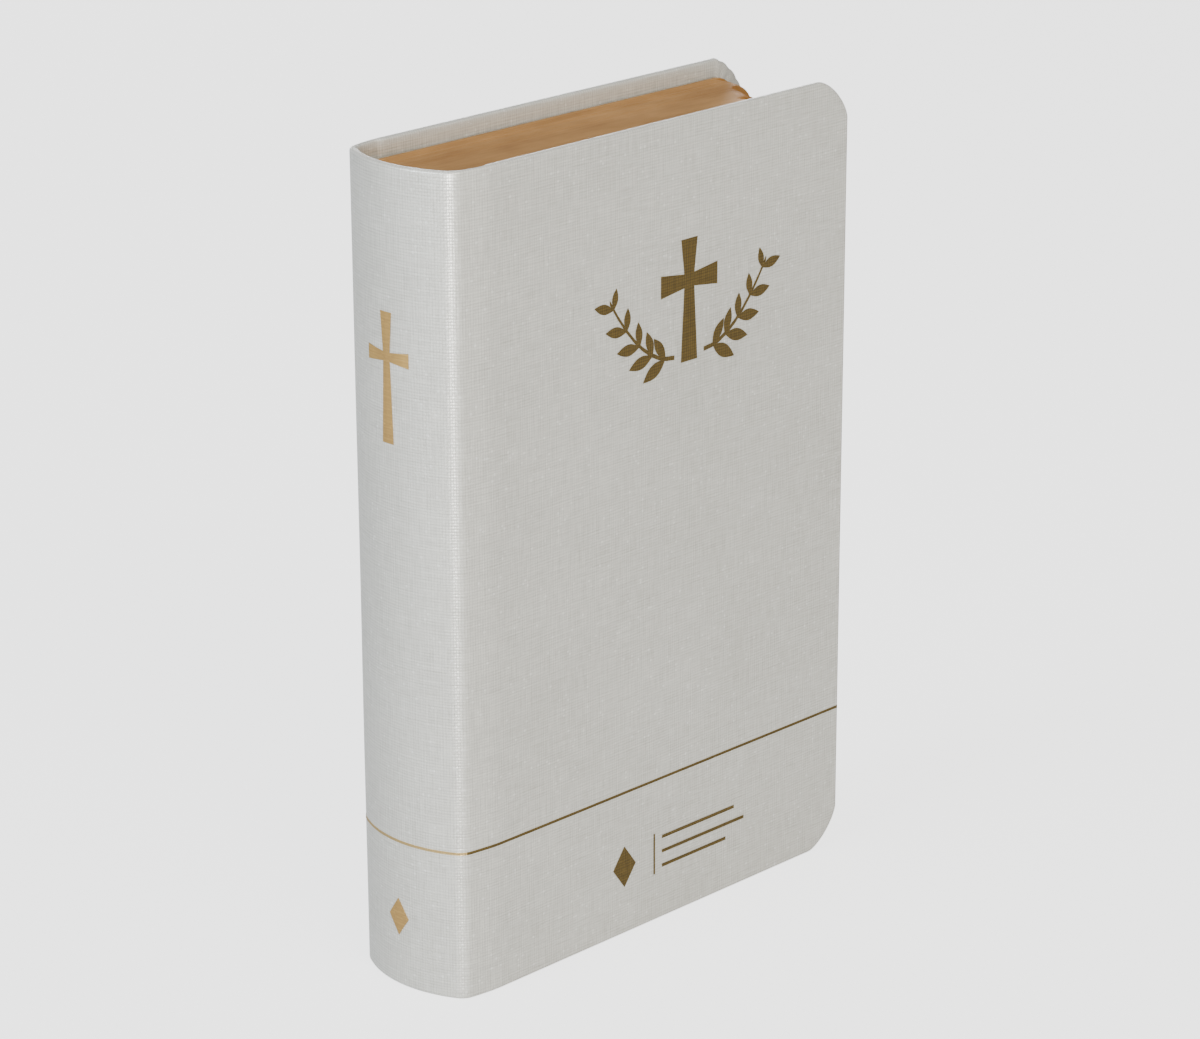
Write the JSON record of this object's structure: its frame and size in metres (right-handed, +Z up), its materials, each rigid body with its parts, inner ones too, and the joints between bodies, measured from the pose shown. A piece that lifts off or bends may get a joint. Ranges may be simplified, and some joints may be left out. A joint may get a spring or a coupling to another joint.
{
  "type": "bible",
  "caption": "Compact hardback Bible in white linen cloth with rounded corners, gilt page edges and gold-foil ornament; covers open and the leaves fan.",
  "frame": {"origin": "middle of the footprint, on the surface that the book stands on", "axes": "+Z up from tail to head, +X from spine to fore-edge, -Y the way the front cover faces"},
  "size_m": [0.1128, 0.0312, 0.168],
  "materials": {
    "cover_cloth": "fine white linen-weave book cloth with a pearly sheen",
    "board": "thin grey-brown binder's board",
    "endpaper": "smooth off-white endpaper",
    "leaves": "thin cream paper with gilt edges",
    "folds": "sewn folds coated with binder's glue, gilt at head and tail",
    "cover_foil": "dark bronze-gold foil stamped into the cloth",
    "spine_foil": "bright gold foil stamped into the cloth",
    "head_and_tail_bands": "woven cotton band",
    "thread": "waxed linen thread",
    "gauze": "open-weave gauze",
    "kraft_paper": "brown kraft lining paper"
  },
  "bodies": {
    "spine_and_folds": {"spine_cloth": "cover_cloth", "spine_inlay": "board", "spine_lining": "kraft_paper", "spine_mull": "gauze", "sewing_thread_1": "thread", "sewing_thread_2": "thread", "sewing_thread_3": "thread", "headband": "head_and_tail_bands", "tailband": "head_and_tail_bands", "section_01_fold": "folds", "section_02_fold": "folds", "section_03_fold": "folds", "section_04_fold": "folds", "section_05_fold": "folds", "section_06_fold": "folds", "section_07_fold": "folds", "section_08_fold": "folds", "section_09_fold": "folds", "section_10_fold": "folds", "section_11_fold": "folds", "section_12_fold": "folds", "section_13_fold": "folds", "section_14_fold": "folds", "spine_rule": "spine_foil", "spine_cross": "spine_foil", "spine_foot_lozenge": "spine_foil"},
    "front_cover": {"front_cover_cloth": "cover_cloth", "front_board": "board", "front_pastedown": "endpaper", "front_rule": "cover_foil", "front_cross": "cover_foil", "front_branch_left": "cover_foil", "front_branch_right": "cover_foil", "front_foot_lozenge": "cover_foil", "front_foot_bar": "cover_foil", "front_foot_rule_1": "cover_foil", "front_foot_rule_2": "cover_foil", "front_foot_rule_3": "cover_foil"},
    "back_cover": {"back_cover_cloth": "cover_cloth", "back_board": "board", "back_pastedown": "endpaper", "back_rule": "cover_foil"},
    "front_flyleaf": {"front_flyleaf": "endpaper"},
    "back_flyleaf": {"back_flyleaf": "endpaper"},
    "section_01": {"section_01_leaves": "leaves"},
    "section_02": {"section_02_leaves": "leaves"},
    "section_03": {"section_03_leaves": "leaves"},
    "section_04": {"section_04_leaves": "leaves"},
    "section_05": {"section_05_leaves": "leaves"},
    "section_06": {"section_06_leaves": "leaves"},
    "section_07": {"section_07_leaves": "leaves"},
    "section_14": {"section_14_leaves": "leaves"},
    "section_13": {"section_13_leaves": "leaves"},
    "section_12": {"section_12_leaves": "leaves"},
    "section_11": {"section_11_leaves": "leaves"},
    "section_10": {"section_10_leaves": "leaves"},
    "section_09": {"section_09_leaves": "leaves"},
    "section_08": {"section_08_leaves": "leaves"}
  },
  "joints": [
    {"name": "front_cover_hinge", "type": "hinge", "parent": "spine_and_folds", "child": "front_cover", "pos_m": [-0.04555, -0.0165, 0.084], "axis": [0, 0, -1], "range_deg": [0, 179]},
    {"name": "back_cover_hinge", "type": "hinge", "parent": "spine_and_folds", "child": "back_cover", "pos_m": [-0.04555, 0.0165, 0.084], "axis": [0, 0, 1], "range_deg": [0, 179]},
    {"name": "front_flyleaf_turn", "type": "hinge", "parent": "spine_and_folds", "child": "front_flyleaf", "pos_m": [-0.04555, -0.01355, 0.084], "axis": [0, 0, -1], "range_deg": [0, 89.5]},
    {"name": "section_01_turn", "type": "hinge", "parent": "spine_and_folds", "child": "section_01", "pos_m": [-0.04555, -0.0132, 0.084], "axis": [0, 0, -1], "range_deg": [0, 80.5]},
    {"name": "section_02_turn", "type": "hinge", "parent": "spine_and_folds", "child": "section_02", "pos_m": [-0.04555, -0.01131, 0.084], "axis": [0, 0, -1], "range_deg": [0, 69.07]},
    {"name": "section_03_turn", "type": "hinge", "parent": "spine_and_folds", "child": "section_03", "pos_m": [-0.04555, -0.00943, 0.084], "axis": [0, 0, -1], "range_deg": [0, 57.64]},
    {"name": "section_04_turn", "type": "hinge", "parent": "spine_and_folds", "child": "section_04", "pos_m": [-0.04555, -0.00754, 0.084], "axis": [0, 0, -1], "range_deg": [0, 46.22]},
    {"name": "section_05_turn", "type": "hinge", "parent": "spine_and_folds", "child": "section_05", "pos_m": [-0.04555, -0.00566, 0.084], "axis": [0, 0, -1], "range_deg": [0, 34.78]},
    {"name": "section_06_turn", "type": "hinge", "parent": "spine_and_folds", "child": "section_06", "pos_m": [-0.04555, -0.00377, 0.084], "axis": [0, 0, -1], "range_deg": [0, 23.36]},
    {"name": "section_07_turn", "type": "hinge", "parent": "spine_and_folds", "child": "section_07", "pos_m": [-0.04555, -0.00189, 0.084], "axis": [0, 0, -1], "range_deg": [0, 11.92]},
    {"name": "back_flyleaf_turn", "type": "hinge", "parent": "spine_and_folds", "child": "back_flyleaf", "pos_m": [-0.04555, 0.01355, 0.084], "axis": [0, 0, 1], "range_deg": [0, 89.5]},
    {"name": "section_14_turn", "type": "hinge", "parent": "spine_and_folds", "child": "section_14", "pos_m": [-0.04555, 0.0132, 0.084], "axis": [0, 0, 1], "range_deg": [0, 80.5]},
    {"name": "section_13_turn", "type": "hinge", "parent": "spine_and_folds", "child": "section_13", "pos_m": [-0.04555, 0.01131, 0.084], "axis": [0, 0, 1], "range_deg": [0, 69.07]},
    {"name": "section_12_turn", "type": "hinge", "parent": "spine_and_folds", "child": "section_12", "pos_m": [-0.04555, 0.00943, 0.084], "axis": [0, 0, 1], "range_deg": [0, 57.64]},
    {"name": "section_11_turn", "type": "hinge", "parent": "spine_and_folds", "child": "section_11", "pos_m": [-0.04555, 0.00754, 0.084], "axis": [0, 0, 1], "range_deg": [0, 46.22]},
    {"name": "section_10_turn", "type": "hinge", "parent": "spine_and_folds", "child": "section_10", "pos_m": [-0.04555, 0.00566, 0.084], "axis": [0, 0, 1], "range_deg": [0, 34.78]},
    {"name": "section_09_turn", "type": "hinge", "parent": "spine_and_folds", "child": "section_09", "pos_m": [-0.04555, 0.00377, 0.084], "axis": [0, 0, 1], "range_deg": [0, 23.36]},
    {"name": "section_08_turn", "type": "hinge", "parent": "spine_and_folds", "child": "section_08", "pos_m": [-0.04555, 0.00189, 0.084], "axis": [0, 0, 1], "range_deg": [0, 11.92]}
  ],
  "couplings": [
    {"joint": "front_flyleaf_turn", "follows": "front_cover_hinge", "ratio": 0.497},
    {"joint": "section_01_turn", "follows": "front_cover_hinge", "ratio": 0.4469},
    {"joint": "section_02_turn", "follows": "front_cover_hinge", "ratio": 0.3831},
    {"joint": "section_03_turn", "follows": "front_cover_hinge", "ratio": 0.3192},
    {"joint": "section_04_turn", "follows": "front_cover_hinge", "ratio": 0.2554},
    {"joint": "section_05_turn", "follows": "front_cover_hinge", "ratio": 0.1915},
    {"joint": "section_06_turn", "follows": "front_cover_hinge", "ratio": 0.1277},
    {"joint": "section_07_turn", "follows": "front_cover_hinge", "ratio": 0.0638},
    {"joint": "back_flyleaf_turn", "follows": "back_cover_hinge", "ratio": 0.497},
    {"joint": "section_14_turn", "follows": "back_cover_hinge", "ratio": 0.4469},
    {"joint": "section_13_turn", "follows": "back_cover_hinge", "ratio": 0.3831},
    {"joint": "section_12_turn", "follows": "back_cover_hinge", "ratio": 0.3192},
    {"joint": "section_11_turn", "follows": "back_cover_hinge", "ratio": 0.2554},
    {"joint": "section_10_turn", "follows": "back_cover_hinge", "ratio": 0.1915},
    {"joint": "section_09_turn", "follows": "back_cover_hinge", "ratio": 0.1277},
    {"joint": "section_08_turn", "follows": "back_cover_hinge", "ratio": 0.0638}
  ]
}
